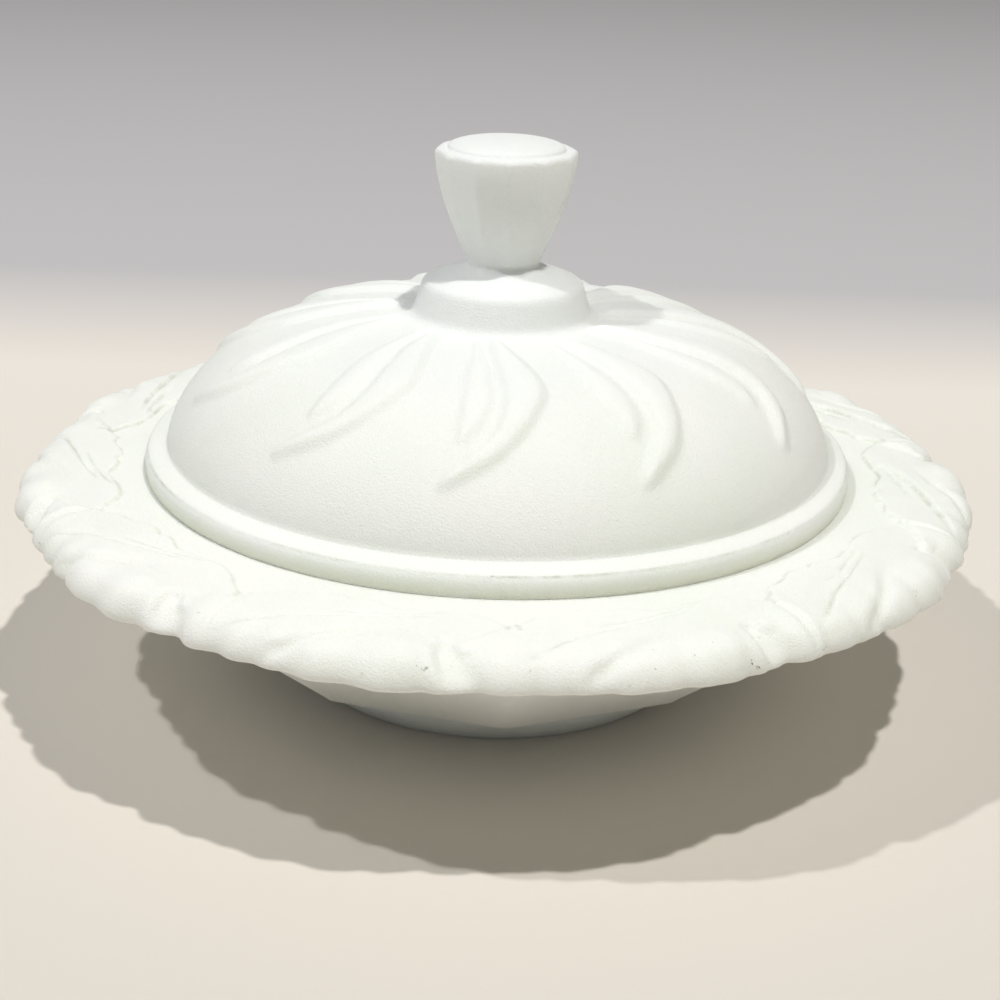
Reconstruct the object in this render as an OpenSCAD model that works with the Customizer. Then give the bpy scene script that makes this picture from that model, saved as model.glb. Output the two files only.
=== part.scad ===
// Covered dish in pressed opal glass: a shallow bowl on a foot, with a wide scalloped
// brim, and a domed lid with a knob. Millimetres, +Z up, origin at the middle of the
// foot's resting plane. Leaf relief runs round both pieces.

/* [Foot] */
// Outer radius of the foot where it rests
foot_r = 46; // [40:0.5:50]
// How much wider the foot is where it meets the bowl, on the radius
foot_flare = 9; // [5:0.5:11]
// Height of the foot
foot_h = 11.5; // [8:0.5:16]
// Width of the flat ring that the dish rests on
foot_ring_w = 5; // [3:0.5:8]
// Depth of the hollow under the foot
foot_recess = 1.5; // [0.5:0.1:3]

/* [Bowl] */
// Height of the brim's upper face above the resting plane
brim_z = 49; // [42:0.5:60]
// Radius of the bowl's mouth
mouth_r = 72; // [66:0.5:80]
// Radius of the bowl's flat floor
floor_r = 44; // [36:0.5:46]
// Thickness of the glass under the bowl's floor
floor_t = 6; // [4:0.5:9]
// Radius of the bend between the bowl's floor and its side
floor_bend = 16; // [10:0.5:18]
// Number of flat panels round the outside of the bowl
panel_count = 10; // [8:1:12]
// How far the panels' lower corners stand out past the foot
panel_overhang = 7; // [5:0.5:10]
// Slope of the edges between two panels, in degrees from the horizontal
panel_slope = 40; // [36:0.5:46]
// Turn of the panels about the axis, in degrees
panel_turn = -86.8; // [-90:0.1:90]

/* [Brim] */
// Width of the brim outside the lid
brim_w = 28; // [22:0.5:34]
// Thickness of the brim at its edge
brim_t = 7; // [5:0.5:9]
// Number of leaves round the brim, one scallop group each
brim_leaves = 11; // [8:1:14]
// Small lobes on the outer edge of each leaf
lobes_per_leaf = 3; // [2:1:4]
// Depth of the scallops that part the leaves
leaf_scallop = 1.4; // [0.5:0.1:2.5]
// Depth of the small lobes
lobe_depth = 0.8; // [0.2:0.1:1.5]
// Height of the leaves above the brim's face
brim_relief = 0.9; // [0.4:0.1:1.4]
// Turn of the brim's leaves about the axis, in degrees
brim_turn = -94; // [-120:0.1:120]

/* [Lid] */
// How far the lid reaches past the bowl's mouth, on the radius
lid_overlap = 8; // [6.5:0.1:12]
// Height of the bead
bead_h = 6.2; // [4:0.1:8]
// Width of the bead outside the dome
bead_w = 5; // [4:0.1:7]
// Rise of the dome above the bead
dome_rise = 28.6; // [24:0.2:34]
// Thickness of the lid's wall
lid_wall = 4.5; // [3.5:0.1:6]
// Depth of the ring under the lid that drops into the mouth
ring_h = 4; // [2.5:0.1:6]
// Thickness of that ring
ring_w = 4.5; // [3:0.1:6]
// Gap between the ring and the bowl's mouth
ring_gap = 0.8; // [0.4:0.1:1.5]
// Number of leaves round the dome
dome_leaves = 11; // [8:1:13]
// Height of the leaves above the dome
dome_relief = 0.9; // [0.4:0.1:1.4]
// Width of the plain band between the leaves' outer tips and the bead
plain_band_w = 8; // [6:0.5:14]
// Turn of the dome's leaves about the axis, in degrees
dome_turn = -97.8; // [-120:0.1:120]

/* [Knob] */
// Radius of the round step under the knob, at its foot
plinth_r = 20.4; // [18:0.2:24]
// How much narrower that step is at its upper edge, on the radius
plinth_taper = 2.8; // [1:0.2:4]
// Height of the step above the dome
plinth_h = 7.5; // [5:0.1:9]
// Height of the low cone on top of the step
plinth_cone = 3.9; // [3:0.1:7]
// Radius of the knob's neck
neck_r = 7.8; // [6:0.1:10]
// Height of the knob from its neck to its widest edge
knob_h = 24.6; // [18:0.2:28]
// Greatest radius of the knob
knob_r = 15.8; // [13:0.1:18]
// Height of the bevel above the widest edge
knob_bevel = 1.0; // [0.8:0.1:3]
// Width of the rim round the knob's domed top
knob_rim_w = 2.1; // [1.7:0.1:4]
// Rise of the domed top
knob_crown = 1.8; // [1:0.1:3]
// Number of upright facets on the knob
knob_facets = 12; // [8:1:12]
// Turn of the knob's facets about the axis, in degrees
knob_turn = -85.5; // [-90:0.1:90]

/* [Hidden] */
glass = [0.93, 0.94, 0.91];
shaded_glass = [0.86, 0.89, 0.88];
sink = 0.6;
leaf_steps = 9;
round_fn = 96;

// Bowl and brim, worked out from the values above
lid_r = mouth_r + lid_overlap;
brim_r = lid_r + brim_w;
foot_top_r = foot_r + foot_flare;
foot_ring_r = foot_r - foot_ring_w;
panel_corner_r = foot_top_r + panel_overhang;
brim_under_z = brim_z - brim_t;
panel_apothem = panel_corner_r * cos(180 / panel_count);
panel_rise = brim_under_z - foot_h;
face_slope = atan(tan(panel_slope) / cos(180 / panel_count));
bowl_out_r = panel_corner_r + panel_rise / tan(panel_slope);
panel_stock = 2;
panel_lead = 1;
floor_z = floor_t + foot_recess;
bend_turn = 65;
bend_steps = 8;
brim_leaf_r0 = lid_r + 3;
brim_leaf_r1 = brim_r - 6;
brim_sweep = -26;
brim_leaf_w = 15;
points_per_lobe = 8;

// Lid, worked out from the values above
seat_z = brim_z;
dome_r = lid_r - bead_w;
dome_tip_r = dome_r - plain_band_w;
dome_z = seat_z + bead_h;
dome_steps = 22;
dome_fullness = 3.4;
hollow_fullness = 4.4;
bead_round = 0.9;
bead_undercut = 1.2;
ring_out_r = mouth_r - ring_gap;
ring_in_r = ring_out_r - ring_w;
inner_rise = dome_rise + bead_h - lid_wall;
dome_sweep = -18;
dome_leaf_w = 18;
plinth_z = dome_z + dome_rise;
plinth_top_r = plinth_r - plinth_taper;
plinth_edge = 0.8;
neck_z = plinth_z + plinth_h + plinth_cone;
knob_wide_z = neck_z + knob_h;
knob_top_r = knob_r - knob_rim_w;
knob_steps = 8;

// Rise of a dome over its edge at radius r, for an edge radius, a full rise and a fullness
function dome_at(r, edge, rise, fullness) =
    rise * pow(1 - pow(min(r / edge, 1), fullness), 0.625);

// Outline of a dome, from its middle to its edge, with closer steps near the edge
function dome_curve(edge, rise, z0, fullness) = [
    for (i = [0 : dome_steps])
        let (r = edge * sin(90 * i / dome_steps))
        [r, z0 + dome_at(r, edge, rise, fullness)]
];

// Drop of the dome's face at the edge of the plinth, below the dome's crown
dome_drop = dome_rise - dome_at(plinth_r, dome_r, dome_rise, dome_fullness) + sink;

// Radius of the knob at a share t of its height: narrow neck, flared bell
function knob_at(t) = neck_r + (knob_r - neck_r) * (0.2 * t + 0.8 * sin(90 * t));

// Radius of the brim's edge at an azimuth a, in leaves and lobes
function brim_edge(a) =
    brim_r
    - leaf_scallop * pow(abs(cos(brim_leaves * a / 2)), 6)
    - lobe_depth * pow(abs(cos(brim_leaves * lobes_per_leaf * a / 2)), 4);

// One side of a curved leaf in plan, from radius r0 to r1, sweeping by sweep degrees.
// The leaf is w degrees wide at its widest, and side is 1 or -1.
function leaf_side(r0, r1, sweep, w, side) = [
    for (i = [0 : leaf_steps])
        let (t = side > 0 ? i / leaf_steps : 1 - i / leaf_steps)
        let (r = r0 + (r1 - r0) * t)
        let (a = sweep * t * t + side * w / 2 * sin(180 * pow(t, 0.7)))
        [r * cos(a), r * sin(a)]
];

module leaf_plan(r0, r1, sweep, w) {
    polygon(concat(
        leaf_side(r0, r1, sweep, w, 1),
        leaf_side(r0, r1, sweep, w, -1)
    ));
}

// ---- Dish -------------------------------------------------------------------------

// Solid of revolution of the foot and the bowl, before the panels are cut
module bowl_blank() {
    rotate_extrude($fn = round_fn)
        polygon([
            [0, 0],
            [foot_r, 0],
            [foot_r + 0.8, 2],
            [foot_top_r, foot_h],
            [panel_corner_r + panel_stock, foot_h],
            [bowl_out_r + panel_stock, brim_under_z],
            [bowl_out_r + panel_stock, brim_under_z + sink],
            [0, brim_under_z + sink]
        ]);
}

// Block that slices one flat panel from the round bowl, outside and below its plane
module panel_cut() {
    translate([panel_apothem, 0, foot_h])
        rotate([0, -face_slope, 0])
            translate([-panel_lead, -bowl_out_r, -bowl_out_r])
                cube([2 * bowl_out_r, 2 * bowl_out_r, bowl_out_r]);
}

// Scalloped plate of the brim
module brim_plate() {
    edge_points = brim_leaves * lobes_per_leaf * points_per_lobe;
    translate([0, 0, brim_under_z])
        rotate([0, 0, brim_turn])
            linear_extrude(brim_t)
                polygon([
                    for (i = [0 : edge_points - 1])
                        let (a = 360 * i / edge_points)
                        [brim_edge(a) * cos(a), brim_edge(a) * sin(a)]
                ]);
}

module brim_leaf_pads() {
    translate([0, 0, brim_z - sink])
        for (k = [0 : brim_leaves - 1])
            rotate([0, 0, brim_turn + k * 360 / brim_leaves])
                linear_extrude(brim_relief + sink)
                    leaf_plan(brim_leaf_r0, brim_leaf_r1, brim_sweep, brim_leaf_w);
}

// Hollow of the bowl: flat floor, rounded bend, a side that opens, and an upright mouth
// deep enough for the lid's ring
module bowl_hollow() {
    rotate_extrude($fn = round_fn)
        polygon(concat(
            [[0, floor_z]],
            [
                for (i = [0 : bend_steps])
                    let (a = -90 + bend_turn * i / bend_steps)
                    [floor_r + floor_bend * cos(a), floor_z + floor_bend * (1 + sin(a))]
            ],
            [
                [mouth_r, brim_z - ring_h - ring_gap],
                [mouth_r, brim_z + brim_relief + 1],
                [0, brim_z + brim_relief + 1]
            ]
        ));
}

module foot_hollow() {
    rotate_extrude($fn = round_fn)
        polygon([
            [0, -1],
            [foot_ring_r, -1],
            [foot_ring_r, 0],
            [foot_ring_r - 2 * foot_recess, foot_recess],
            [0, foot_recess]
        ]);
}

module dish() {
    color(shaded_glass)
        difference() {
            union() {
                difference() {
                    bowl_blank();
                    for (k = [0 : panel_count - 1])
                        rotate([0, 0, panel_turn + (k + 0.5) * 360 / panel_count])
                            panel_cut();
                }
                brim_plate();
                brim_leaf_pads();
            }
            bowl_hollow();
            foot_hollow();
        }
}

// ---- Lid --------------------------------------------------------------------------

// Outside of the dome and the bead, with the locating ring below, all solid
module lid_blank() {
    bead_mid_z = seat_z + bead_h * 0.5;
    rotate_extrude($fn = round_fn)
        polygon(concat(
            [[0, seat_z - ring_h]],
            [for (p = dome_curve(dome_r, dome_rise, dome_z, dome_fullness)) p],
            [
                [dome_r + bead_w / 2, dome_z - bead_w / 8],
                [lid_r - bead_round, bead_mid_z + bead_round],
                [lid_r, bead_mid_z],
                [lid_r, seat_z + bead_undercut],
                [lid_r - bead_undercut, seat_z],
                [ring_out_r, seat_z],
                [ring_out_r, seat_z - ring_h]
            ]
        ));
}

module lid_hollow() {
    rotate_extrude($fn = round_fn)
        polygon(concat(
            [[0, seat_z - ring_h - 1]],
            [for (p = dome_curve(ring_in_r, inner_rise, seat_z, hollow_fullness)) p],
            [[ring_in_r, seat_z - ring_h - 1]]
        ));
}

// Skin over the dome that the leaves are cut from
module dome_skin() {
    rotate_extrude($fn = round_fn)
        polygon(concat(
            [[0, dome_z - sink]],
            [for (p = dome_curve(dome_r, dome_rise, dome_z + dome_relief, dome_fullness)) p]
        ));
}

module dome_leaf_pads() {
    intersection() {
        dome_skin();
        for (k = [0 : dome_leaves - 1])
            rotate([0, 0, dome_turn + k * 360 / dome_leaves])
                translate([0, 0, dome_z])
                    linear_extrude(dome_rise + plinth_h)
                        leaf_plan(plinth_r - 2, dome_tip_r, dome_sweep, dome_leaf_w);
    }
}

// Round step and low cone that carry the knob
module plinth() {
    rotate_extrude($fn = round_fn)
        polygon([
            [0, plinth_z - dome_drop],
            [plinth_r, plinth_z - dome_drop],
            [plinth_top_r + plinth_edge, plinth_z + plinth_h - plinth_edge],
            [plinth_top_r, plinth_z + plinth_h],
            [neck_r, neck_z],
            [0, neck_z]
        ]);
}

// Bell of flat upright facets, bevelled at its widest edge, with a domed top
module knob() {
    rotate([0, 0, knob_turn])
        rotate_extrude($fn = knob_facets)
            polygon(concat(
                [[0, neck_z - sink], [neck_r, neck_z - sink]],
                [for (i = [0 : knob_steps]) [knob_at(i / knob_steps), neck_z + knob_h * i / knob_steps]],
                [[knob_r - knob_bevel, knob_wide_z + knob_bevel], [0, knob_wide_z + knob_bevel]]
            ));
    translate([0, 0, knob_wide_z + knob_bevel - sink])
        rotate_extrude($fn = round_fn)
            polygon(concat(
                [[0, 0]],
                [for (i = [0 : 6]) [knob_top_r * cos(15 * i), sink + knob_crown * sin(15 * i)]]
            ));
}

module lid() {
    color(glass) {
        difference() {
            union() {
                lid_blank();
                dome_leaf_pads();
            }
            lid_hollow();
        }
        plinth();
        knob();
    }
}

dish();
lid();
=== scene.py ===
"""Looks of the covered dish in satin opal glass: a lid and a dish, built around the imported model."""
import math

import bpy
import numpy as np
from mathutils import Matrix, Vector


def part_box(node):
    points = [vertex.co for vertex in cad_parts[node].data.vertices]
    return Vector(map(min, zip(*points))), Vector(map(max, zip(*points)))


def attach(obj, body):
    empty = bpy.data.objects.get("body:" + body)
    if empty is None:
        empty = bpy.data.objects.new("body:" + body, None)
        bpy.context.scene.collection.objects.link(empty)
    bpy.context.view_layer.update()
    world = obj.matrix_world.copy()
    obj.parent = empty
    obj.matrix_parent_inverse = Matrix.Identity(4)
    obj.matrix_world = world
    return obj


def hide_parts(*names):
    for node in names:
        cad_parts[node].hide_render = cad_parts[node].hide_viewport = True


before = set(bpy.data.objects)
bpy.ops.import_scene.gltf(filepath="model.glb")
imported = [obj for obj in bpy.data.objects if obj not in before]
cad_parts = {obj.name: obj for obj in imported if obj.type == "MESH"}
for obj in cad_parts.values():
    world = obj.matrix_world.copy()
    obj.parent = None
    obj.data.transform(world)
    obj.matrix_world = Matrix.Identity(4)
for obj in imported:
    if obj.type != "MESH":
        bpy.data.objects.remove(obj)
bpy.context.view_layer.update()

# ---- Sizes, in millimetres and degrees -------------------------------------------------
MM = 0.001
lid_low, lid_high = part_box("lid")
dish_low, dish_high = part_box("dish")

# Lid
LID_R = (lid_high.x - lid_low.x) / 2 / MM
RING_H = 4.0
SEAT_Z = lid_low.z / MM + RING_H
RING_OUT_R = 71.2
RING_IN_R = 66.7
BEAD_H = 6.2
BEAD_W = 5.0
BEAD_UNDERCUT = 0.3
RIDGE_IN = 0.64
RIDGE_UP = 4.6
DOME_R = LID_R - BEAD_W
DOME_RISE = 28.6
DOME_FULLNESS = 3.4
HOLLOW_FULLNESS = 4.4
LID_WALL = 4.5
PLINTH_R = 20.4
PLINTH_TOP_R = 17.6
PLINTH_H = 7.5
CONE_H = 3.9
NECK_R = 7.8
KNOB_R = 15.8
KNOB_H = 24.4
KNOB_BEVEL = 1.0
LENS_R = 12.9
LENS_RISE = 2.1
KNOB_FACETS = 12
KNOB_CORNER = 4.5

# Dish
MOUTH_R = 72.0
BRIM_R = (dish_high.x - dish_low.x) / 2 / MM + 0.4
BRIM_T = 7.0
FLOOR_R = 44.0
FLOOR_Z = 7.5
FLOOR_BEND = 16.0
FOOT_R = 46.0
FOOT_TOP_R = 55.0
FOOT_H = 11.5
FOOT_RING_R = 41.0
FOOT_RECESS = 1.5
PANEL_COUNT = 10
PANEL_CORNER = 3.2
PANEL_LOW_R = 62.0
PANEL_HIGH_R = 98.3

# Leaves
DOME_LEAVES = 11
BRIM_LEAVES = 11
BRIM_LEAF_ZERO = -4.0

# Mesh
LID_COLUMNS = 792
DISH_COLUMNS = 1056


# ---- Small tools -----------------------------------------------------------------------
def ease(value, low, high):
    """0 below low, 1 above high, and a smooth step between them."""
    t = np.clip((value - low) / (high - low), 0, 1)
    return t * t * (3 - 2 * t)


def wrap(degrees):
    """Degrees brought between -180 and 180."""
    return (degrees + 180) % 360 - 180


def line(points, rows):
    """Rows of (radius, height) spaced evenly along straight runs between points."""
    points = np.array(points, float)
    steps = np.hypot(*np.diff(points, axis=0).T)
    along = np.concatenate([[0], np.cumsum(steps)])
    at = np.linspace(0, along[-1], rows)
    return np.stack([np.interp(at, along, points[:, 0]), np.interp(at, along, points[:, 1])], 1)


def curve(points, rows):
    """Rows of (radius, height) spaced evenly along a smooth curve through points."""
    return line(through(points, 12), rows)


def through(points, steps):
    """A Catmull-Rom curve through points in a plane, with some steps between each two."""
    p = np.array(points, float)
    p = np.vstack([2 * p[0] - p[1], p, 2 * p[-1] - p[-2]])
    t = np.linspace(0, 1, steps, endpoint=False)[:, None]
    runs = []
    for a, b, c, d in zip(p, p[1:], p[2:], p[3:]):
        runs.append(b + (c - a) * t / 2 + (2 * a - 5 * b + 4 * c - d) * t**2 / 2
                    + (3 * b - a - 3 * c + d) * t**3 / 2)
    return np.vstack(runs + [p[-2:-1]])


def plan(radius, degrees):
    """Place in plan of a radius and an azimuth, which counts from the front towards the right."""
    a = np.radians(degrees)
    return radius * np.sin(a), -radius * np.cos(a)


def leaf_line(points, steps=6):
    """Smooth curve in plan through (radius, degrees) points."""
    radius, degrees = np.array(points, float).T
    return through(np.stack(plan(radius, degrees), 1), steps)


def to_line(x, y, path):
    """Distance of points from a path, side of it that they lie on, and share of the path passed."""
    dx, dy = np.diff(path, axis=0).T
    ex = x[:, None] - path[:-1, 0]
    ey = y[:, None] - path[:-1, 1]
    t = np.clip((ex * dx + ey * dy) / (dx * dx + dy * dy), 0, 1)
    ex = ex - t * dx
    ey = ey - t * dy
    square = ex * ex + ey * ey
    nearest = square.argmin(1)
    row = np.arange(len(x))
    side = np.sign(dx[nearest] * ey[row, nearest] - dy[nearest] * ex[row, nearest])
    along = (nearest + t[row, nearest]) / len(dx)
    return np.sqrt(square[row, nearest]), side, along


def depth_inside(x, y, outline):
    """How deep points lie inside a closed outline: negative outside it."""
    closed = np.vstack([outline, outline[:1]])
    distance = to_line(x, y, closed)[0]
    ax, ay = closed[:-1].T
    bx, by = closed[1:].T
    crosses = (ay > y[:, None]) != (by > y[:, None])
    rise = np.where(by == ay, 1, by - ay)
    left = x[:, None] < (bx - ax) * (y[:, None] - ay) / rise + ax
    inside = (crosses & left).sum(1) % 2 == 1
    return np.where(inside, distance, -distance)


def per_leaf(radius, azimuth, count, zero, reach, height):
    """Largest of height(radius, local azimuth) over all leaves, where within reach of each."""
    field = np.full(radius.shape, -np.inf)
    for k in range(count):
        local = wrap(azimuth - zero - k * 360 / count)
        columns = np.abs(local) < reach
        r = radius[:, columns]
        a = np.broadcast_to(local[columns], r.shape)
        h = height(r.ravel(), a.ravel(), k).reshape(r.shape)
        field[:, columns] = np.maximum(field[:, columns], h)
    return field


def polygon_radius(azimuth, corner, count, soft):
    """Radius at an azimuth of a regular polygon of corner radius 1, its corners eased over soft degrees."""
    step = 360 / count
    off = np.abs((azimuth - corner + step / 2) % step - step / 2)
    off = np.where(off < soft, (off * off + soft * soft) / (2 * soft), off)
    return math.cos(math.pi / count) / np.cos(np.radians(step / 2 - off))


def ring_mesh(name, radius, height, azimuth, marks):
    """Closed mesh from rings of radius and height in millimetres, with point values by name in marks."""
    rows, columns = radius.shape
    a = np.radians(azimuth)
    x = radius * np.sin(a)
    y = -radius * np.cos(a)
    ends = [[0, 0, height[0].mean()], [0, 0, height[-1].mean()]]
    places = np.vstack([np.stack([x, y, height], -1).reshape(-1, 3), ends]) * MM
    i, j = np.meshgrid(np.arange(rows - 1), np.arange(columns), indexing="ij")
    after = (j + 1) % columns
    quads = np.stack([i * columns + j, (i + 1) * columns + j,
                      (i + 1) * columns + after, i * columns + after], -1).reshape(-1, 4)
    j = np.arange(columns)
    after = (j + 1) % columns
    first = np.full(columns, rows * columns)
    last = first + 1
    base = (rows - 1) * columns
    caps = np.vstack([np.stack([first, j, after], 1), np.stack([last, base + after, base + j], 1)])
    mesh = bpy.data.meshes.new(name)
    mesh.vertices.add(len(places))
    mesh.vertices.foreach_set("co", places.astype(np.float32).ravel())
    corners = np.concatenate([quads.ravel(), caps.ravel()]).astype(np.int32)
    starts = np.concatenate([np.arange(len(quads)) * 4, len(quads) * 4 + np.arange(len(caps)) * 3])
    mesh.loops.add(len(corners))
    mesh.loops.foreach_set("vertex_index", corners)
    mesh.polygons.add(len(quads) + len(caps))
    mesh.polygons.foreach_set("loop_start", starts.astype(np.int32))
    mesh.polygons.foreach_set("use_smooth", np.ones(len(starts), bool))
    mesh.update(calc_edges=True)
    mesh.validate()
    for mark, values in marks.items():
        layer = mesh.attributes.new(mark, "FLOAT", "POINT")
        layer.data.foreach_set("value", np.append(values.ravel(), [0, 0]).astype(np.float32))
    piece = bpy.data.objects.new(name, mesh)
    bpy.context.scene.collection.objects.link(piece)
    return piece


def outward(profile):
    """Unit vectors square to a profile of (radius, height) rows, on its outer side."""
    run = np.gradient(profile, axis=0)
    square = np.stack([-run[:, 1], run[:, 0]], 1)
    return square / np.maximum(np.hypot(*square.T), 1e-9)[:, None]


# ---- Lid -------------------------------------------------------------------------------
def dome_at(r, edge, rise, fullness):
    """Height of a dome over its edge at radius r."""
    return rise * np.clip(1 - (r / edge) ** fullness, 0, 1) ** 0.625


def dome_rows(edge, rise, z0, fullness, r_from, r_to, rows):
    """Rows along a dome, evenly spaced on its surface."""
    share = np.sin(np.linspace(math.asin(r_from / edge), math.asin(r_to / edge), 600))
    r = edge * share
    return line(np.stack([r, z0 + dome_at(r, edge, rise, fullness)], 1), rows)


# One dome leaf's outlines, as radius and degrees from the leaf's own zero: its long crescent and
# its short lobe. Each rises over about WALL_W millimetres inside its outline.
LEAF_OUTER = [(19, -7), (22.5, 0), (27, 4.2), (33, 7.6), (39, 10.4), (45, 11.8), (49.5, 11.6),
              (54, 9.6), (58, 7.4), (62, 4.6), (65.4, 1.4), (68, -2.6), (70, -6.6), (69.6, -8.4)]
LEAF_INNER = [(67.6, -8), (65.4, -6.2), (63, -3.8), (60, -1.2), (56, 0.2), (50, 0.6), (42, -0.8),
              (34, -3.6), (26, -6), (19, -9)]
LOBE_LEFT = [(19, -17), (25, -13.6), (32, -11.4), (38, -10.8), (44, -10), (51, -8.8), (57, -8),
             (61.2, -7.2)]
LOBE_RIGHT = [(62.2, -5.6), (60.4, -3.6), (57, -1.6), (50, -0.6), (42, -1.9), (34, -4.8), (26, -7.4),
              (19, -11)]
WALL_W = 2.2


def dome_leaves(radius, azimuth):
    """Height of the dome's leaves: a long crescent and a short lobe in each."""
    crescent = leaf_line(LEAF_OUTER + LEAF_INNER)
    lobe = leaf_line(LOBE_LEFT + LOBE_RIGHT)

    def height(r, a, k):
        turn = a + 0.5 * math.sin(2.1 * k + 1) + 0.7 * np.sin(r / 9 + 1.7 * k)
        x, y = plan(r * (1 + 0.006 * math.sin(1.3 * k + 2)), turn)
        long = depth_inside(x, y, crescent)
        short = depth_inside(x, y, lobe)
        high = 1.05 * ease(long, -0.5, WALL_W) + 0.35 * ease(long, 0, 4)
        low = 0.75 * ease(short, -0.4, WALL_W) + 0.3 * ease(short, 0, 4)
        return np.maximum(high, low)

    field = per_leaf(radius, azimuth, DOME_LEAVES, 0, 24, height)
    return np.maximum(field, 0) * ease(radius, 21, 25)


def lid_profile():
    """Rows of the lid from the knob's top, down the outside and up the inside, by stretch."""
    dome_z = SEAT_Z + BEAD_H
    plinth_z = dome_z + DOME_RISE
    shoulder_z = plinth_z + PLINTH_H
    neck_z = shoulder_z + CONE_H
    wide_z = neck_z + KNOB_H
    lens_z = wide_z + KNOB_BEVEL
    t = np.radians(np.linspace(3, 88, 12))
    lens = np.stack([LENS_R * np.sin(t), lens_z + LENS_RISE * np.cos(t)], 1)
    bevel = line([(LENS_R + 0.1, lens_z - 0.35), (LENS_R + 0.45, lens_z - 0.15), (KNOB_R - 0.7, wide_z + 0.6),
                  (KNOB_R - 0.15, wide_z + 0.2), (KNOB_R, wide_z - 0.4)], 9)
    t = np.linspace(0.97, 0.04, 26)
    bell = np.stack([NECK_R + (KNOB_R - NECK_R) * (0.2 * t + 0.8 * np.sin(np.pi / 2 * t)),
                     neck_z + KNOB_H * t], 1)
    cone = curve([(NECK_R + 0.1, neck_z + 0.2), (NECK_R + 0.7, neck_z - 0.7), (NECK_R + 3, neck_z - 1.9),
                  (13.5, shoulder_z + 1.5), (PLINTH_TOP_R - 1.4, shoulder_z + 0.35)], 14)
    step = curve([(PLINTH_TOP_R - 0.5, shoulder_z + 0.1), (PLINTH_TOP_R + 0.2, shoulder_z - 0.5),
                  (PLINTH_TOP_R + 0.7, shoulder_z - 1.6), (PLINTH_R - 0.7, plinth_z + 1.5),
                  (PLINTH_R - 0.1, plinth_z + 0.5), (PLINTH_R + 0.7, plinth_z)], 14)
    dome = dome_rows(DOME_R, DOME_RISE, dome_z, DOME_FULLNESS, PLINTH_R + 1.4, DOME_R - 0.08, 132)
    bead = curve([(DOME_R + 0.1, dome_z - 0.15), (DOME_R + 0.6, dome_z - 0.35), (DOME_R + 2.0, dome_z - 0.7),
                  (LID_R - 1.4, SEAT_Z + 5.1), (LID_R - 0.78, SEAT_Z + 4.8), (LID_R - 0.5, SEAT_Z + 4.35),
                  (LID_R - 0.12, SEAT_Z + 3.5), (LID_R, SEAT_Z + 2.3), (LID_R - 0.1, SEAT_Z + 1.1),
                  (LID_R - BEAD_UNDERCUT, SEAT_Z + 0.08)], 34)
    under = line([(LID_R - BEAD_UNDERCUT - 0.4, SEAT_Z + 0.03), (RING_OUT_R + 0.4, SEAT_Z + 0.03),
                  (RING_OUT_R, SEAT_Z - 0.4), (RING_OUT_R, SEAT_Z - RING_H + 0.6),
                  (RING_OUT_R - 0.6, SEAT_Z - RING_H), (RING_IN_R + 0.6, SEAT_Z - RING_H),
                  (RING_IN_R, SEAT_Z - RING_H + 0.6), (RING_IN_R - 0.1, SEAT_Z)], 34)
    hollow_rise = DOME_RISE + BEAD_H - LID_WALL
    hollow = dome_rows(RING_IN_R, hollow_rise, SEAT_Z, HOLLOW_FULLNESS, 1.5, RING_IN_R - 0.1, 44)[::-1]
    return dict(lens=lens, bevel=bevel, bell=bell, cone=cone, step=step, dome=dome, bead=bead,
                under=under, hollow=hollow)


def stretches(parts):
    """Where each stretch of a profile lies in the stack of all its rows."""
    ends = np.cumsum([len(rows) for rows in parts.values()])
    return {name: slice(end - len(rows), end) for (name, rows), end in zip(parts.items(), ends)}


def build_lid():
    parts = lid_profile()
    at = stretches(parts)
    profile = np.vstack(list(parts.values()))
    azimuth = np.arange(LID_COLUMNS) * 360 / LID_COLUMNS + KNOB_CORNER
    radius = np.repeat(profile[:, :1], LID_COLUMNS, 1)
    height = np.repeat(profile[:, 1:], LID_COLUMNS, 1)
    normal = outward(profile)

    facet = polygon_radius(azimuth, KNOB_CORNER, KNOB_FACETS, 2.0)
    share = np.zeros(len(profile))
    share[at["bell"]] = ease(np.linspace(1, 0, len(parts["bell"])), 0, 0.12)
    share[at["bevel"]] = ease(np.linspace(0, 1, len(parts["bevel"])), 0.2, 1)
    radius *= 1 + share[:, None] * (facet - 1)

    rows = at["dome"]
    relief = np.zeros_like(radius)
    relief[rows] = dome_leaves(radius[rows], azimuth)
    radius += relief * normal[:, :1]
    height += relief * normal[:, 1:]
    steep = np.hypot(np.gradient(relief[rows], axis=0), np.gradient(relief[rows], axis=1))
    # Painted shade darkens the dome leaves' steep walls, more where they are steeper; a patchy line of dirt
    # runs along the bead's ridge.
    grime_and_shade = np.zeros_like(radius)
    grime_and_shade[rows] = ease(steep, 0.15, 0.5) * 0.14
    ridge = np.hypot(radius - LID_R + RIDGE_IN, height - SEAT_Z - RIDGE_UP)
    patchy = 0.5 + 0.5 * np.sin(np.radians(azimuth) * 3 + 1.2) * np.sin(np.radians(azimuth) * 7 + 0.4)
    grime_and_shade += 0.8 * patchy * np.exp(-((ridge / 0.22) ** 2))
    chips = patchy * np.exp(-((ridge / 0.3) ** 2))
    # Painted shade: a greenish darkening over the bead's lower face, strongest down at the seat.
    low = ease(SEAT_Z + 4.4 - height, 0, 4.4) * (height > SEAT_Z) * (radius > LID_R - 1)
    marks = {"grime_and_shade": grime_and_shade, "chips": chips, "bead_painted_shade": 0.8 * low}
    return ring_mesh("lid_glass", radius, height, azimuth, marks)


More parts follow.
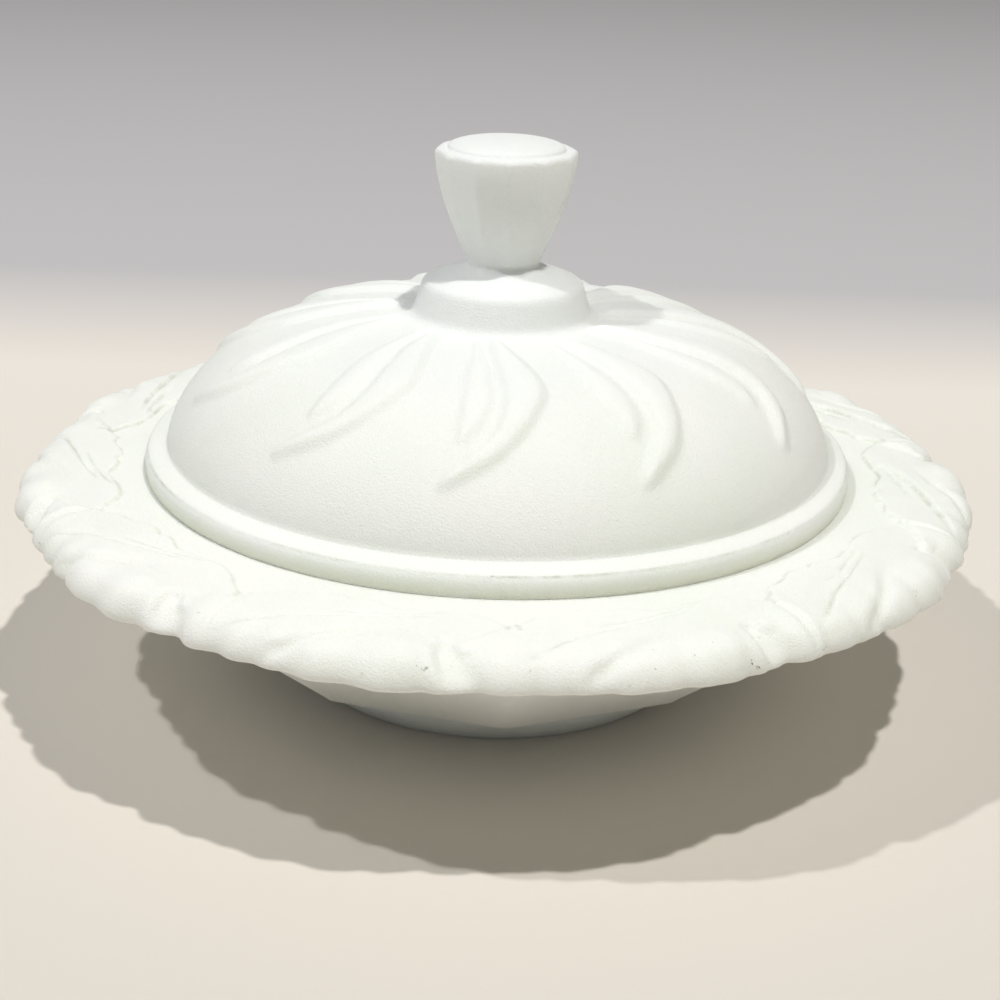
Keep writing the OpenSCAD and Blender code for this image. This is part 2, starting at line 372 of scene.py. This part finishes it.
# ---- Dish ------------------------------------------------------------------------------
# One brim leaf's lines, as radius and degrees from the leaf's own zero.
SPLIT_LINE = [(93, 6.3), (95.4, 4.9), (98, 3.2), (100, 1.2)]
SCOOP = [(101.6, 0.0), (104.2, 0.4), (108, 1.4), (112, 2.6)]
MARGIN = [(93, 6.3), (91.6, 7.7), (90, 8.5), (88.6, 9.4), (88.2, 11.4), (87.0, 13.2), (85.8, 14.6),
          (85.4, 16.6), (86.4, 18.2), (85.6, 20), (86.4, 22), (87.6, 24.5), (87.2, 27), (86.7, 30),
          (86.8, 33), (87.9, 35), (90.3, 36.9), (93, 39.0)]
VEIN = [(105.4, 6.2), (102.8, 9.4), (99.8, 12.1), (97.6, 14.6), (95.4, 18), (93.4, 22), (91.6, 26), (90, 30)]
LOWER_VEIN = [(93.8, 15.4), (92.4, 19), (90.6, 23), (89.2, 27), (87.6, 31.4)]
FOLD = [(112, 13.2), (107.5, 13.8), (105, 16), (102.6, 18.8), (99.4, 22), (97, 26), (96, 31)]
# The lobes of the edge: degrees at which they meet, how far each bulges and how far it is set back.
LOBES = [2.8, 8.4, 12.6, 16.4, 23.4, 29.8, 35.53]
LOBE_BULGE = [1.9, 1.3, 1.7, 1.5, 1.1, 1.5]
LOBE_SET_BACK = [1.2, 1.4, 0.9, 0.2, 0.0, 0.9]
SCOOP_DEPTH = 1.9
# Low swellings of each leaf: height, azimuth and radius of the middle, half widths in both.
SWELLINGS = [(1.0, -4.6, 103.5, 3.8, 4.5), (0.5, 6.5, 101.5, 3.5, 4), (0.6, 19, 104.5, 4.0, 4)]
# Each vein's look; its last two values give the dark line of dirt and painted shade along its groove.
VEIN_LOOK = dict(fade_in=0.25, fade_out=0.75, step=0.4, reach=4, groove=0.55, grime_and_shade=0.48, grime_and_shade_width=0.5)
LOWER_VEIN_LOOK = dict(fade_in=0.3, fade_out=0.8, step=0.25, reach=3, groove=0.4, grime_and_shade=0.36,
                       grime_and_shade_width=0.45)


def brim_outline(azimuth):
    """Change of the brim's radius along its scalloped edge: round lobes that meet in small nicks."""
    change = np.zeros_like(azimuth)
    step = 360 / BRIM_LEAVES
    for k in range(BRIM_LEAVES):
        local = (azimuth - BRIM_LEAF_ZERO - k * step - LOBES[0]) % 360
        edges = np.array(LOBES) - LOBES[0]
        edges[1:-1] += 0.5 * np.sin(2.3 * k + np.arange(1, len(edges) - 1) * 1.7)
        for i, bulge in enumerate(LOBE_BULGE):
            t = (local - edges[i]) / (edges[i + 1] - edges[i])
            on = (t >= 0) & (t < 1)
            round_off = (4 * t[on] * (1 - t[on])) ** 0.7
            ripple = 0.25 * np.sin(t[on] * 9 + k) * round_off
            change[on] = bulge * (0.9 + 0.25 * math.sin(1.9 * k + 2.1 * i)) * (round_off - 1) + ripple
            change[on] -= LOBE_SET_BACK[i] * (1 - 0.3 * math.sin(k * 1.3))
        change -= 0.6 * np.exp(-((wrap(local) / 1.2) ** 2))
    soft = np.array([1, 2, 3, 4, 3, 2, 1]) / 16
    wide = np.concatenate([change[-3:], change, change[:3]])
    return np.convolve(wide, soft, "valid")


def vein_relief(x, y, path, fade_in, fade_out, step, reach, groove, grime_and_shade, grime_and_shade_width):
    """Height of a vein, a low step to one side with a groove along it, and the dark line of dirt and painted
    shade along the groove.
    """
    away, side, along = to_line(x, y, path)
    shown = ease(along, 0, fade_in) * (1 - ease(along, fade_out, 1))
    height = -shown * side * step * np.exp(-away / reach) * ease(away, 0, 0.6)
    height -= shown * groove * np.exp(-((away / 0.55) ** 2))
    return height, grime_and_shade * shown * np.exp(-((away / grime_and_shade_width) ** 2))


def brim_leaf(r, a, k, paths):
    """Plate, relief and dark lines of dirt and painted shade of brim leaf k, at radius r and azimuth a from
    the leaf's zero.
    """
    a = a + 0.5 * math.sin(1.7 * k) + 0.6 * np.sin(r / 7 + 2.3 * k)
    x, y = plan(r + 0.5 * np.sin(np.radians(a) * 9 + 1.1 * k), a)
    depth = depth_inside(x, y, paths["outside"])
    plate = 0.7 * ease(depth, -0.1, 0.8) - 0.15 * np.exp(-((depth / 0.4) ** 2))
    # Dark line painted along the leaf's margin inside 95 mm: dirt and painted shade in its crease.
    grime_and_shade = 0.42 * np.exp(-(((depth - 0.1) / 0.5) ** 2)) * (r < 95)

    away, side, along = to_line(x, y, paths["split"])
    shown = ease(r, 89, 94) * (1 - ease(r, 99, 101.5))
    relief = shown * side * 0.45 * np.exp(-away / 6) * ease(away, 0, 0.8)
    away, side, along = to_line(x, y, paths["scoop"])
    wide = 2.2 + 0.9 * along
    slope = 0.6 + 2.6 * ease(along, 0, 0.35) * (side > 0)
    relief -= SCOOP_DEPTH * (0.75 + 0.5 * along) * (1 - ease(away, wide - 1.3, wide + slope))
    for height, middle_a, middle_r, half_a, half_r in SWELLINGS:
        out = np.hypot((a - middle_a) / half_a, (r - middle_r) / half_r)
        relief += height * np.exp(-(out**2))

    for name, look in (("vein", VEIN_LOOK), ("lower_vein", LOWER_VEIN_LOOK)):
        height, line_grime_and_shade = vein_relief(x, y, paths[name], **look)
        relief += height
        grime_and_shade = np.maximum(grime_and_shade, line_grime_and_shade)
    away, side, along = to_line(x, y, paths["fold"])
    shown = 1 - ease(along, 0.5, 1)
    relief += shown * side * 0.4 * np.exp(-away / 5) * ease(away, 0, 0.9)
    relief -= shown * 0.9 * np.exp(-((away / 1.3) ** 2))
    return plate, relief, grime_and_shade


def brim_leaves(radius, azimuth):
    """Height of the brim's overlapping leaves over the plain band that the lid sits in, and their dark lines
    of dirt and painted shade.
    """
    paths = dict(split=leaf_line(SPLIT_LINE), scoop=leaf_line(SCOOP), vein=leaf_line(VEIN),
                 lower_vein=leaf_line(LOWER_VEIN), fold=leaf_line(FOLD))
    beyond = leaf_line([(120, 39), (120, 28), (120, 17), (120, 6.3)])
    paths["outside"] = np.vstack([leaf_line(MARGIN), beyond])
    total = np.zeros(radius.shape)
    cover = np.zeros(radius.shape)
    grime_and_shade = np.zeros(radius.shape)
    for k in range(BRIM_LEAVES):
        local = wrap(azimuth - BRIM_LEAF_ZERO - k * 360 / BRIM_LEAVES)
        columns = (local > -14) & (local < 46)
        shape = radius[:, columns].shape
        a = np.broadcast_to(local[columns], shape).ravel()
        plate, relief, leaf_grime_and_shade = brim_leaf(radius[:, columns].ravel(), a, k, paths)
        total[:, columns] += relief.reshape(shape)
        cover[:, columns] = np.maximum(cover[:, columns], plate.reshape(shape))
        grime_and_shade[:, columns] = np.maximum(grime_and_shade[:, columns], leaf_grime_and_shade.reshape(shape))
    return total + cover, grime_and_shade


def dish_profile():
    """Rows of the dish from the bowl's floor, up and over the brim, and down to the foot."""
    brim_z = SEAT_Z
    under_z = brim_z - BRIM_T
    turn = np.radians(np.linspace(-90, -25, 12))
    bend = np.stack([FLOOR_R + FLOOR_BEND * np.cos(turn), FLOOR_Z + FLOOR_BEND * (1 + np.sin(turn))], 1)
    mouth_low = brim_z - RING_H - 0.8
    floor = line([(1.5, FLOOR_Z), (FLOOR_R - 1, FLOOR_Z)], 14)
    side = line([bend[-1] + [0.3, 0.6], (MOUTH_R - 0.4, mouth_low - 0.7), (MOUTH_R, mouth_low),
                 (MOUTH_R, brim_z - 1.1)], 20)
    lip = curve([(MOUTH_R + 0.1, brim_z - 0.7), (MOUTH_R + 0.5, brim_z - 0.2), (MOUTH_R + 1.3, brim_z)], 5)
    top = line([(MOUTH_R + 2, brim_z), (BRIM_R - 10, brim_z)], 84)
    edge = curve([(BRIM_R - 9.5, brim_z - 0.03), (BRIM_R - 6, brim_z - 0.45), (BRIM_R - 3, brim_z - 1.6),
                  (BRIM_R - 0.9, brim_z - 3.4), (BRIM_R, brim_z - 5.2), (BRIM_R - 0.3, brim_z - 6.3),
                  (BRIM_R - 1.4, under_z + 0.15), (BRIM_R - 2.6, under_z - 0.1)], 36)
    below = line([(BRIM_R - 3.6, under_z - 0.1), (PANEL_HIGH_R + 1.5, under_z)], 6)
    panel = line([(PANEL_HIGH_R, under_z - 0.4), (PANEL_LOW_R + 0.5, FOOT_H + 0.6)], 22)
    ledge = np.array([(PANEL_LOW_R + 0.2, FOOT_H + 0.3), (PANEL_LOW_R, FOOT_H + 0.12),
                      (PANEL_LOW_R - 0.2, FOOT_H + 0.02), (PANEL_LOW_R - 0.5, FOOT_H),
                      (PANEL_LOW_R - 2, FOOT_H), (FOOT_TOP_R + 1.5, FOOT_H),
                      (FOOT_TOP_R + 0.6, FOOT_H - 0.05)])
    foot = curve([(FOOT_TOP_R + 0.1, FOOT_H - 0.3), (FOOT_TOP_R - 1.8, FOOT_H - 4),
                  (FOOT_TOP_R - 5.5, FOOT_H - 7.6), (FOOT_R + 0.4, 1.2), (FOOT_R - 0.4, 0.3)], 14)
    rest = line([(FOOT_R - 1, 0), (FOOT_RING_R + 0.5, 0), (FOOT_RING_R - 2, FOOT_RECESS),
                 (1.5, FOOT_RECESS)], 22)
    return dict(floor=floor, bend=bend, side=side, lip=lip, top=top, edge=edge, below=below,
                panel=panel, ledge=ledge, foot=foot, rest=rest)


def build_dish():
    parts = dish_profile()
    at = stretches(parts)
    profile = np.vstack(list(parts.values()))
    azimuth = np.arange(DISH_COLUMNS) * 360 / DISH_COLUMNS
    radius = np.repeat(profile[:, :1], DISH_COLUMNS, 1)
    height = np.repeat(profile[:, 1:], DISH_COLUMNS, 1)
    normal = outward(profile)

    share = ease(profile[:, 0], LID_R + 6, BRIM_R - 6)
    share[: at["top"].start] = 0
    share[at["panel"].start:] = 0
    radius += share[:, None] * brim_outline(azimuth)

    panel = polygon_radius(azimuth, PANEL_CORNER, PANEL_COUNT, 1.0)
    flat = np.zeros(len(profile))
    flat[at["panel"]] = 1
    flat[at["ledge"]] = [1, 1, 1, 1, 0.8, 0, 0]
    flat[at["below"]] = ease(np.linspace(0, 1, len(parts["below"])), 0.5, 1)
    radius *= 1 + flat[:, None] * (panel - 1)

    rows = slice(at["top"].start, at["edge"].stop)
    relief = np.zeros_like(radius)
    # Dark lines of dirt and painted shade along the brim leaves' margins and veins.
    grime_and_shade = np.zeros_like(radius)
    relief[rows], grime_and_shade[rows] = brim_leaves(radius[rows], azimuth)
    patchy = 0.5 + 0.5 * np.sin(np.radians(azimuth) * 5 + 2) * np.sin(np.radians(azimuth) * 8 + 1)
    chips = patchy * ease(radius, BRIM_R - 9, BRIM_R - 5) * (height > SEAT_Z - 6)
    # Painted cool shade over the ledge's inner part, the foot and the underside within it.
    foot = np.zeros_like(radius)
    foot[at["ledge"].start + 4:] = 1
    fade = np.ones(len(profile))
    fade[at["edge"]] = 1 - ease(np.linspace(0, 1, len(parts["edge"])), 0.45, 1)
    relief *= fade[:, None]
    radius += relief * normal[:, :1]
    height += relief * normal[:, 1:]
    return ring_mesh("dish_glass", radius, height, azimuth, {"grime_and_shade": grime_and_shade, "chips": chips, "foot": foot})


# ---- Materials -------------------------------------------------------------------------
GLASS_DEEP = (0.885, 0.915, 0.860, 1)
GLASS_PALE = (0.920, 0.945, 0.895, 1)
GLASS_KNOB = (0.900, 0.940, 0.925, 1)
# Painted cool shade of the foot.
FOOT_PAINTED_SHADE = (0.85, 0.91, 0.90, 1)
# Painted greenish shade of the bead's lower face.
BEAD_PAINTED_SHADE = (0.84, 0.85, 0.68, 1)
# Dark lines: dirt, and painted shade on relief walls and in grooves.
GRIME_AND_SHADE = (0.42, 0.40, 0.33, 1)
CHIP = (0.17, 0.15, 0.11, 1)
# Floor paper: darker at the front and brighter behind as painted light, grey far off.
FLOOR_FRONT = (0.665, 0.622, 0.563, 1)
FLOOR_BEHIND_PAINTED_LIGHT = (0.82, 0.77, 0.71, 1)
FLOOR_FAR = (0.54, 0.53, 0.545, 1)


def node(tree, kind, **values):
    """A shader node with some of its settings and inputs set."""
    made = tree.nodes.new(kind)
    for name, value in values.items():
        if name in made.inputs:
            made.inputs[name].default_value = value
        else:
            setattr(made, name, value)
    return made


def marked(tree, place, below, name, colour, scale, starts, full):
    """Colour laid over another where a point value and a noise pattern meet."""
    link = tree.links.new
    mark = node(tree, "ShaderNodeAttribute", attribute_name=name)
    noise = node(tree, "ShaderNodeTexNoise", Scale=scale, Detail=5.0, Roughness=0.75)
    link(place.outputs["Object"], noise.inputs["Vector"])
    broken = node(tree, "ShaderNodeMapRange")
    broken.inputs["From Min"].default_value = starts
    broken.inputs["From Max"].default_value = full
    link(noise.outputs["Fac"], broken.inputs["Value"])
    amount = node(tree, "ShaderNodeMath", operation="MULTIPLY")
    link(mark.outputs["Fac"], amount.inputs[0])
    link(broken.outputs["Result"], amount.inputs[1])
    return laid_over(tree, below, colour, amount.outputs["Value"])


def laid_over(tree, below, colour, amount):
    """Colour mixed over another by an amount."""
    over = node(tree, "ShaderNodeMix", data_type="RGBA")
    over.inputs["B"].default_value = colour
    tree.links.new(amount, over.inputs["Factor"])
    tree.links.new(below, over.inputs["A"])
    return over.outputs["Result"]


def glass_colour(tree, place):
    """Faintly cloudy white, cooler at the knob, with a painted cool shade at the foot, a painted greenish
    shade on the bead's lower face, dark lines of dirt and painted shade, and chips where marked.
    """
    link = tree.links.new
    cloud = node(tree, "ShaderNodeTexNoise", Scale=28.0, Detail=3.0, Roughness=0.5)
    link(place.outputs["Object"], cloud.inputs["Vector"])
    tint = node(tree, "ShaderNodeValToRGB")
    tint.color_ramp.elements[0].position = 0.35
    tint.color_ramp.elements[0].color = GLASS_DEEP
    tint.color_ramp.elements[1].position = 0.65
    tint.color_ramp.elements[1].color = GLASS_PALE
    link(cloud.outputs["Fac"], tint.inputs["Fac"])

    apart = node(tree, "ShaderNodeSeparateXYZ")
    link(place.outputs["Object"], apart.inputs["Vector"])
    plinth_z = SEAT_Z + BEAD_H + DOME_RISE
    high = node(tree, "ShaderNodeMapRange")
    high.inputs["From Min"].default_value = (plinth_z - 8) * MM
    high.inputs["From Max"].default_value = (plinth_z + 6) * MM
    link(apart.outputs["Z"], high.inputs["Value"])
    foot = node(tree, "ShaderNodeAttribute", attribute_name="foot")

    colour = laid_over(tree, tint.outputs["Color"], GLASS_KNOB, high.outputs["Result"])
    # Painted cool shade over the foot.
    colour = laid_over(tree, colour, FOOT_PAINTED_SHADE, foot.outputs["Fac"])
    # Painted greenish shade on the bead's lower face.
    colour = marked(tree, place, colour, "bead_painted_shade", BEAD_PAINTED_SHADE, 60.0, 0.2, 0.4)
    # Dark lines of dirt and painted shade.
    colour = marked(tree, place, colour, "grime_and_shade", GRIME_AND_SHADE, 190.0, 0.38, 0.62)
    return marked(tree, place, colour, "chips", CHIP, 330.0, 0.65, 0.70)


def opal_glass():
    """Satin opal glass: white, light scattered under the surface, and an acid-frosted grain."""
    material = bpy.data.materials.new("opal_glass")
    material.use_nodes = True
    tree = material.node_tree
    tree.nodes.clear()
    link = tree.links.new
    out = node(tree, "ShaderNodeOutputMaterial")
    shader = node(tree, "ShaderNodeBsdfPrincipled")
    link(shader.outputs["BSDF"], out.inputs["Surface"])
    shader.inputs["IOR"].default_value = 1.5
    shader.inputs["Subsurface Weight"].default_value = 0.6
    shader.inputs["Subsurface Radius"].default_value = (1.0, 1.0, 0.9)
    shader.inputs["Subsurface Scale"].default_value = 0.004
    place = node(tree, "ShaderNodeTexCoord")
    link(glass_colour(tree, place), shader.inputs["Base Color"])

    grain = node(tree, "ShaderNodeTexNoise", Scale=2600.0, Detail=2.0, Roughness=0.6)
    link(place.outputs["Object"], grain.inputs["Vector"])
    rough = node(tree, "ShaderNodeMapRange")
    rough.inputs["To Min"].default_value = 0.42
    rough.inputs["To Max"].default_value = 0.58
    link(grain.outputs["Fac"], rough.inputs["Value"])
    link(rough.outputs["Result"], shader.inputs["Roughness"])
    bump = node(tree, "ShaderNodeBump", Strength=0.9, Distance=0.0003)
    link(grain.outputs["Fac"], bump.inputs["Height"])
    link(bump.outputs["Normal"], shader.inputs["Normal"])
    return material


def floor_paper():
    """Smooth pale paper of the floor, darker at the front and brighter behind the object as painted light,
    greyer far behind it.
    """
    material = bpy.data.materials.new("floor_paper")
    material.use_nodes = True
    tree = material.node_tree
    link = tree.links.new
    shader = tree.nodes["Principled BSDF"]
    shader.inputs["Roughness"].default_value = 0.8
    place = node(tree, "ShaderNodeTexCoord")
    fibre = node(tree, "ShaderNodeTexNoise", Scale=900.0, Detail=2.0)
    link(place.outputs["Object"], fibre.inputs["Vector"])
    bump = node(tree, "ShaderNodeBump", Strength=0.15, Distance=0.0002)
    link(fibre.outputs["Fac"], bump.inputs["Height"])
    link(bump.outputs["Normal"], shader.inputs["Normal"])
    apart = node(tree, "ShaderNodeSeparateXYZ")
    link(place.outputs["Object"], apart.inputs["Vector"])
    far = node(tree, "ShaderNodeMapRange")
    far.inputs["From Min"].default_value = -0.2
    far.inputs["From Max"].default_value = 0.36
    link(apart.outputs["Y"], far.inputs["Value"])
    ramp = node(tree, "ShaderNodeValToRGB")
    ramp.color_ramp.elements[0].color = FLOOR_FRONT
    ramp.color_ramp.elements[1].color = FLOOR_FAR
    # Painted light: a brighter band of floor behind the object.
    behind = ramp.color_ramp.elements.new(0.75)
    behind.color = FLOOR_BEHIND_PAINTED_LIGHT
    link(far.outputs["Result"], ramp.inputs["Fac"])
    link(ramp.outputs["Color"], shader.inputs["Base Color"])
    return material


# ---- Floor, lights and camera (metres, watts and degrees) ------------------------------
FLOOR_SIDE = 6.0
LAMP_DISTANCE = 3.0
LAMP_SIZE = 0.10
SKY_LEFT = (0.95, 0.975, 1.0, 1)
SKY_RIGHT = (1.05, 1.0, 0.90, 1)
SKY_STRENGTH = 0.225
CAMERA_TILT = 21.31
CAMERA_ROLL = 1.84
CAMERA_LENS = 63.53
CAMERA_SIDE = 0.00095
CAMERA_BACK = 0.38494
CAMERA_OVER_SEAT = 0.13944


def build_floor():
    half = FLOOR_SIDE / 2
    corners = [(-half, -half, 0), (half, -half, 0), (half, half, 0), (-half, half, 0)]
    mesh = bpy.data.meshes.new("floor")
    mesh.from_pydata(corners, [], [(0, 1, 2, 3)])
    floor = bpy.data.objects.new("floor", mesh)
    floor.data.materials.append(floor_paper())
    bpy.context.scene.collection.objects.link(floor)


def lamp(name, direction, watts, colour):
    """Round soft light that looks at the dish from a direction."""
    data = bpy.data.lights.new(name, "AREA")
    data.shape = "DISK"
    data.size = LAMP_SIZE
    data.energy = watts
    data.color = colour
    light = bpy.data.objects.new(name, data)
    place = Vector(direction).normalized() * LAMP_DISTANCE
    light.location = place
    light.rotation_euler = (-place).to_track_quat("-Z", "Y").to_euler()
    bpy.context.scene.collection.objects.link(light)


def build_lights():
    lamp("light_right", (0.235, -0.225, 1), 51.5, (1.0, 0.985, 0.95))
    lamp("light_left", (-0.56, -0.21, 1), 33.0, (0.98, 0.985, 0.99))


def build_sky():
    """Dim even light from all round, cooler on the left and warmer on the right."""
    world = bpy.data.worlds.new("studio")
    bpy.context.scene.world = world
    world.use_nodes = True
    tree = world.node_tree
    sky = tree.nodes["Background"]
    place = node(tree, "ShaderNodeTexCoord")
    apart = node(tree, "ShaderNodeSeparateXYZ")
    tree.links.new(place.outputs["Generated"], apart.inputs["Vector"])
    across = node(tree, "ShaderNodeMapRange")
    across.inputs["From Min"].default_value = -1.0
    tree.links.new(apart.outputs["X"], across.inputs["Value"])
    tint = node(tree, "ShaderNodeMix", data_type="RGBA")
    tint.inputs["A"].default_value = SKY_LEFT
    tint.inputs["B"].default_value = SKY_RIGHT
    tree.links.new(across.outputs["Result"], tint.inputs["Factor"])
    tree.links.new(tint.outputs["Result"], sky.inputs["Color"])
    sky.inputs["Strength"].default_value = SKY_STRENGTH


def build_camera():
    """Camera at the viewing angle: above the front, looking down, turned a little clockwise."""
    tilt = math.radians(CAMERA_TILT)
    roll = math.radians(CAMERA_ROLL)
    right = Vector((1, 0, 0))
    ahead = Vector((0, math.cos(tilt), -math.sin(tilt)))
    up = Vector((0, math.sin(tilt), math.cos(tilt)))
    turned_right = math.cos(roll) * right + math.sin(roll) * up
    turned_up = -math.sin(roll) * right + math.cos(roll) * up
    turn = Matrix((turned_right, turned_up, -ahead)).transposed().to_4x4()
    data = bpy.data.cameras.new("camera")
    data.sensor_width = 36
    data.lens = CAMERA_LENS
    place = (CAMERA_SIDE, -CAMERA_BACK, SEAT_Z * MM + CAMERA_OVER_SEAT)
    camera = bpy.data.objects.new("camera", data)
    camera.matrix_world = Matrix.Translation(place) @ turn
    bpy.context.scene.collection.objects.link(camera)
    bpy.context.scene.camera = camera


build_camera()
build_lights()
build_sky()
build_floor()
glass = opal_glass()
for piece, body, cad_node in ((build_lid(), "lid_body", "lid"), (build_dish(), "root", "dish")):
    piece.data.materials.append(glass)
    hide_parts(cad_node)
    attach(piece, body)
bpy.context.scene.view_settings.view_transform = "Standard"
